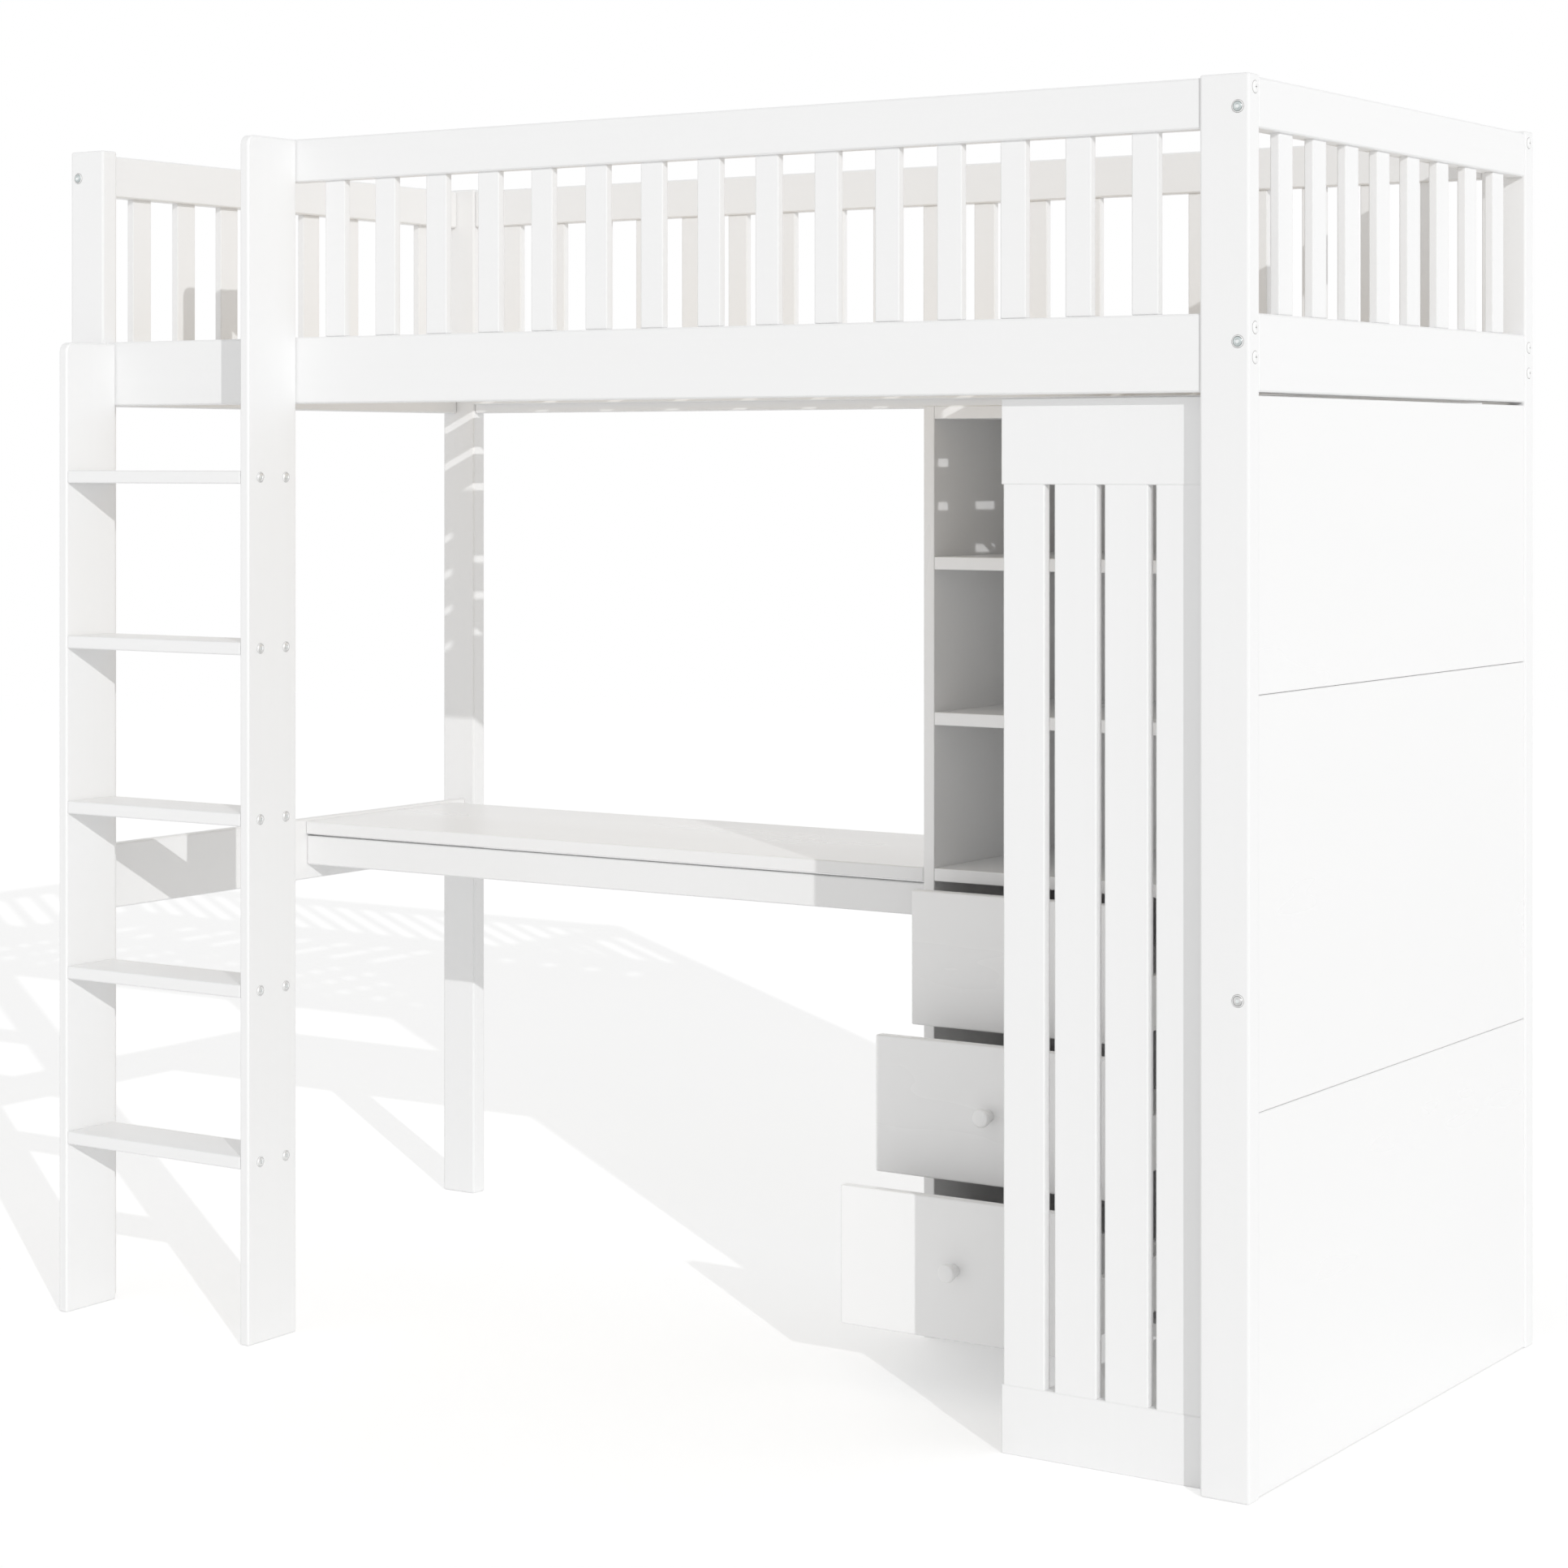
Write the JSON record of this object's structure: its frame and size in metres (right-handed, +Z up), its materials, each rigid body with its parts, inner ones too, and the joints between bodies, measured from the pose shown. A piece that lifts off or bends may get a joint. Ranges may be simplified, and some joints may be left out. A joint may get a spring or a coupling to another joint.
{
  "type": "loft bed with desk",
  "caption": "High sleeper with slatted guard rails and a side ladder over a desk, open shelves with drawers, and a wardrobe corner behind a slatted screen.",
  "frame": {"origin": "on the floor, at the centre of the footprint with the ladder included", "axes": "+X to the wardrobe end along the bed, -Y to the ladder side, +Z up"},
  "size_m": [2.072, 1.0756, 1.82],
  "materials": {
    "white_paint": "satin white paint on solid wood",
    "white_board": "satin white lacquer on board",
    "pine_slats": "bare sanded pine",
    "white_knob": "satin white paint on a turned knob",
    "steel": "brushed tube"
  },
  "bodies": {
    "root": {"cabinet_back": "white_board", "cabinet_bottom": "white_board", "cabinet_shelf_1": "white_board", "cabinet_shelf_2": "white_board", "cabinet_shelf_3": "white_board", "cabinet_side_left": "white_board", "cabinet_side_right": "white_board", "cabinet_top": "white_board", "clothes_rod": "steel", "desk_apron": "white_paint", "desk_end_board": "white_paint", "desktop": "white_board", "end_panel_1": "white_board", "end_panel_2": "white_board", "end_panel_3": "white_board", "front_cleat": "white_paint", "front_guard": "white_paint", "front_side_rail": "white_paint", "ladder_rung_1": "white_paint", "ladder_rung_2": "white_paint", "ladder_rung_3": "white_paint", "ladder_rung_4": "white_paint", "ladder_rung_5": "white_paint", "ladder_stile_left": "white_paint", "ladder_stile_right": "white_paint", "left_end_rail": "white_paint", "left_guard": "white_paint", "post_front_left": "white_paint", "post_front_right": "white_paint", "post_rear_left": "white_paint", "post_rear_right": "white_paint", "rear_cleat": "white_paint", "rear_guard": "white_paint", "rear_side_rail": "white_paint", "right_end_rail": "white_paint", "right_guard": "white_paint", "slatted_base": "pine_slats", "wardrobe_floor": "white_board", "wardrobe_screen": "white_paint"},
    "drawer_1": {"drawer_1_back": "white_board", "drawer_1_bottom": "white_board", "drawer_1_front": "white_board", "drawer_1_knob": "white_knob", "drawer_1_side_left": "white_board", "drawer_1_side_right": "white_board"},
    "drawer_2": {"drawer_2_back": "white_board", "drawer_2_bottom": "white_board", "drawer_2_front": "white_board", "drawer_2_knob": "white_knob", "drawer_2_side_left": "white_board", "drawer_2_side_right": "white_board"},
    "drawer_3": {"drawer_3_back": "white_board", "drawer_3_bottom": "white_board", "drawer_3_front": "white_board", "drawer_3_knob": "white_knob", "drawer_3_side_left": "white_board", "drawer_3_side_right": "white_board"}
  },
  "joints": [
    {"name": "drawer_1_slide", "type": "slide", "parent": "root", "child": "drawer_1", "axis": [0, -1, 0], "range_m": [-0.069, 0.231]},
    {"name": "drawer_2_slide", "type": "slide", "parent": "root", "child": "drawer_2", "axis": [0, -1, 0], "range_m": [-0.17, 0.13]},
    {"name": "drawer_3_slide", "type": "slide", "parent": "root", "child": "drawer_3", "axis": [0, -1, 0], "range_m": [-0.2664, 0.0336]}
  ]
}
